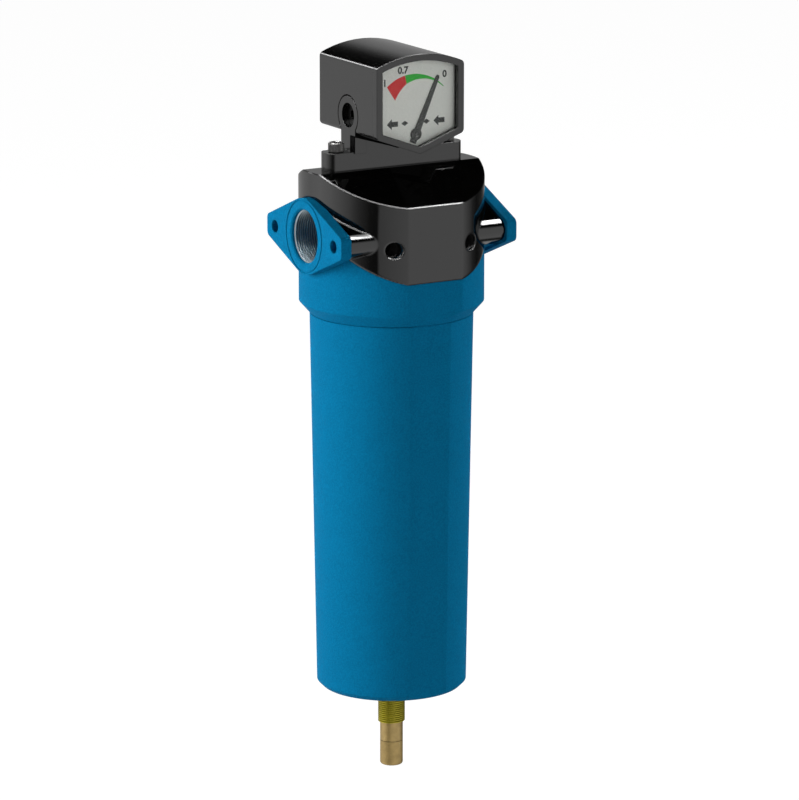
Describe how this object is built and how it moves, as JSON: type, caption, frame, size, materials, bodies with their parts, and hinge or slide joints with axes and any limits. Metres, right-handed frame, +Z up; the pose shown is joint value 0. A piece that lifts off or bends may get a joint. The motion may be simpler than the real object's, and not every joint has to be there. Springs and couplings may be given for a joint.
{
  "type": "compressed air filter housing",
  "caption": "Compressed air filter housing: flanged head with side ports, screw-on tapered bowl, pleated element, float drain and a differential pressure gauge on top.",
  "frame": {"origin": "on the bowl's axis, at the lower end of the drain knob", "axes": "+X along the ports towards the inlet, -Y to the front with the dial, +Z up along the bowl"},
  "size_m": [0.125, 0.1098, 0.4652],
  "materials": {
    "blue_coat": "textured blue powder coat on die-cast aluminium",
    "black_gloss": "polished black moulding",
    "black_satin": "satin black moulding",
    "black_steel": "black oxide steel",
    "seal_rubber": "smooth nitrile rubber",
    "cap_plastic": "moulded end cap",
    "steel_sleeve": "perforated stainless sheet",
    "filter_paper": "pleated glass fibre medium",
    "filter_foam": "open cell drain layer",
    "thread_brass": "machined yellow brass",
    "stem_brass": "turned brass with a dull sheen",
    "float_plastic": "foamed plastic",
    "steel_small": "bright steel",
    "window_glass": "clear flat window",
    "dial_face": "printed light grey dial",
    "pointer_paint": "dark grey paint",
    "magnet": "sintered magnet",
    "tube_metal": "machined aluminium"
  },
  "bodies": {
    "head": {"head_casting": "blue_coat", "head_cover": "black_gloss", "gauge_bracket": "black_satin", "bracket_screws": "black_steel", "gauge_side_screws": "black_steel", "gauge_housing": "black_satin", "gauge_bezel": "black_satin", "gauge_window": "window_glass", "gauge_dial": "dial_face", "pointer_bush": "thread_brass", "gauge_cylinder": "tube_metal", "gauge_spring": "steel_small"},
    "pointer": {"gauge_pointer": "pointer_paint", "pointer_shaft": "steel_small", "pointer_magnet": "magnet"},
    "piston": {"gauge_piston": "tube_metal", "piston_magnet": "magnet"},
    "bowl_seal": {"bowl_o_ring": "seal_rubber"},
    "bowl": {"bowl": "blue_coat", "drain_body": "thread_brass", "drain_washer": "seal_rubber", "drain_nut": "thread_brass", "float_clip": "steel_small"},
    "float": {"drain_float": "float_plastic", "float_seal": "seal_rubber"},
    "knob": {"drain_knob": "stem_brass", "drain_o_ring": "seal_rubber"},
    "element": {"element_top_cap": "cap_plastic", "element_o_rings": "seal_rubber", "element_core": "steel_sleeve", "element_media": "filter_paper", "element_sleeve": "steel_sleeve", "element_foam": "filter_foam", "element_bottom_cap": "cap_plastic"}
  },
  "joints": [
    {"name": "piston_slide", "type": "slide", "parent": "head", "child": "piston", "axis": [-1, 0, 0], "range_m": [0, 0.006], "stiffness_N_per_m": 400, "springref_m": -0.002, "deforming": ["gauge_spring"]},
    {"name": "pointer_turn", "type": "hinge", "parent": "head", "child": "pointer", "pos_m": [0, -0.02, 0.4145], "axis": [0, -1, 0], "range_deg": [0, 58.1]},
    {"name": "bowl_travel", "type": "slide", "parent": "head", "child": "bowl_seal", "axis": [0, 0, -1], "range_m": [0, 0.01651]},
    {"name": "bowl_turn", "type": "hinge", "parent": "bowl_seal", "child": "bowl", "pos_m": [0, 0, 0.3], "axis": [0, 0, -1], "range_deg": [0, 990]},
    {"name": "float_rise", "type": "slide", "parent": "bowl", "child": "float", "axis": [0, 0, 1], "range_m": [0, 0.008]},
    {"name": "knob_turn", "type": "hinge", "parent": "bowl", "child": "knob", "pos_m": [0, 0, 0.01], "axis": [0, 0, -1], "range_deg": [0, 360]},
    {"name": "element_pull", "type": "slide", "parent": "head", "child": "element", "axis": [0, 0, -1], "range_m": [0, 0.013]}
  ],
  "couplings": [
    {"joint": "pointer_turn", "follows": "piston_slide", "rad_per_m": 168.72},
    {"joint": "bowl_travel", "follows": "bowl_turn", "m_per_rad": 0.00095493}
  ]
}
